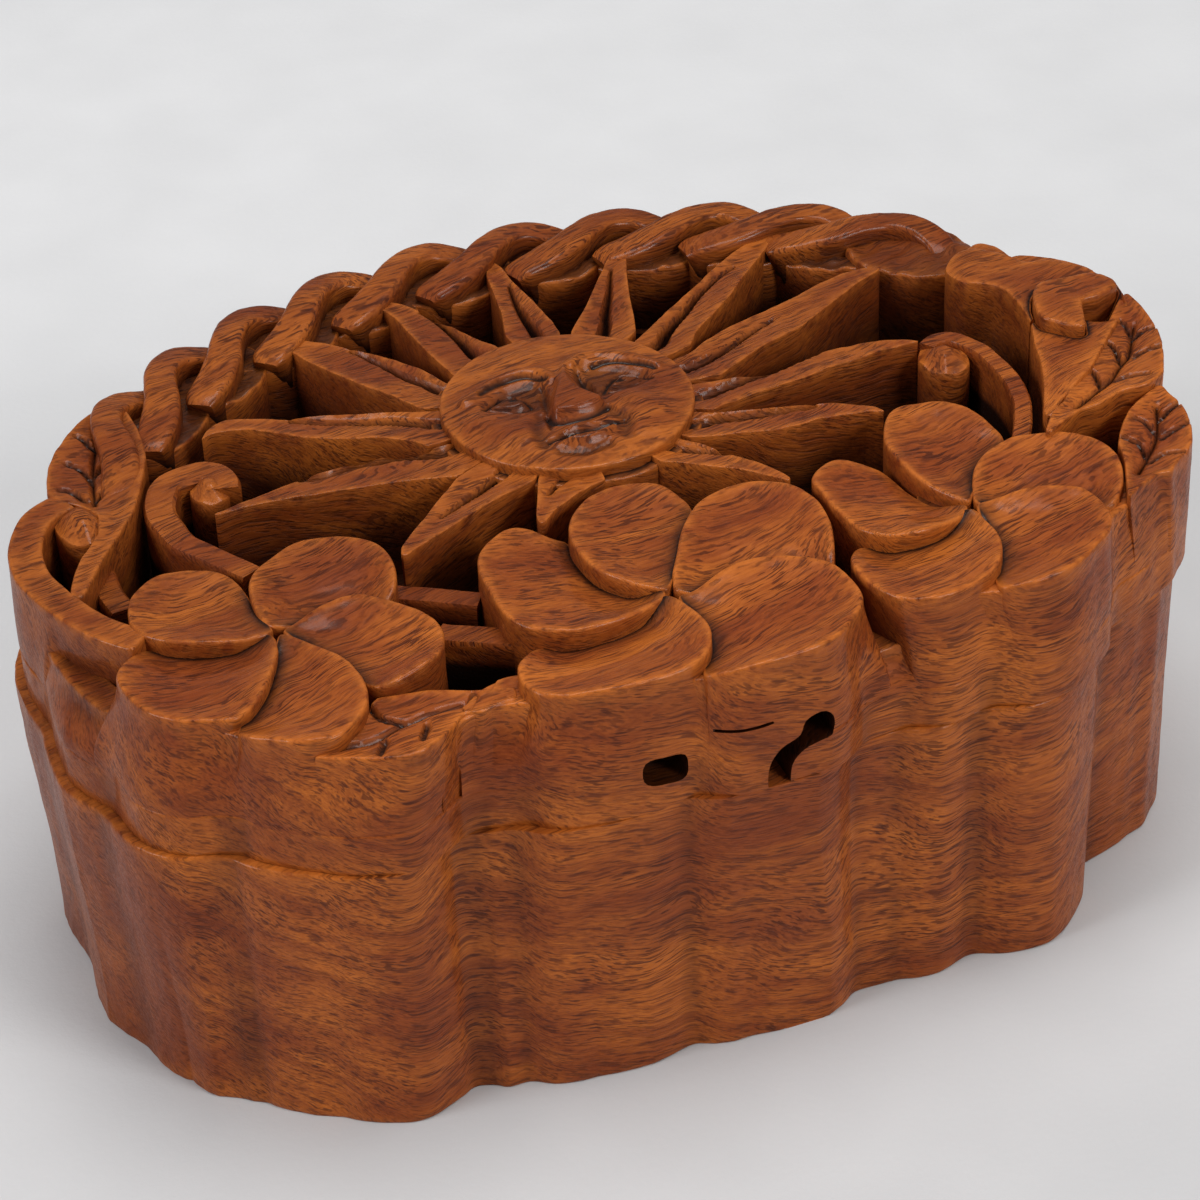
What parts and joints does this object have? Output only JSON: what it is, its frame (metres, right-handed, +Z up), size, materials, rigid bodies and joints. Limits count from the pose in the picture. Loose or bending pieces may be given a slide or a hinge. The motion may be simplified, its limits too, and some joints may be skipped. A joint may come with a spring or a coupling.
{
  "type": "puzzle box",
  "caption": "Oval carved wooden puzzle box: a pierced lid with sun, rope and flowers that swings aside once a bud-shaped key is lifted.",
  "frame": {"origin": "middle of the underside, in the plane that the box stands on", "axes": "+X along the long axis to the end with the key, +Y to the rope side at the back, +Z up"},
  "size_m": [0.1606, 0.1148, 0.0615],
  "materials": {
    "carved_wood": "satin varnish over red-brown hardwood",
    "board_wood": "dark stained, satin"
  },
  "bodies": {
    "base": {"base_wall": "carved_wood", "base_floor": "board_wood"},
    "lid": {"lid_carving": "carved_wood", "lid_board": "board_wood", "turning_post": "board_wood", "post_collar": "board_wood"},
    "key": {"key_bud": "carved_wood", "key_peg": "board_wood"}
  },
  "joints": [
    {"name": "lid_swing", "type": "hinge", "parent": "base", "child": "lid", "pos_m": [-0.05836, -0.03854, 0.04], "axis": [0, 0, 1], "range_deg": [-180, 180]},
    {"name": "key_lift", "type": "slide", "parent": "lid", "child": "key", "axis": [0, 0, 1], "range_m": [0, 0.025]}
  ]
}
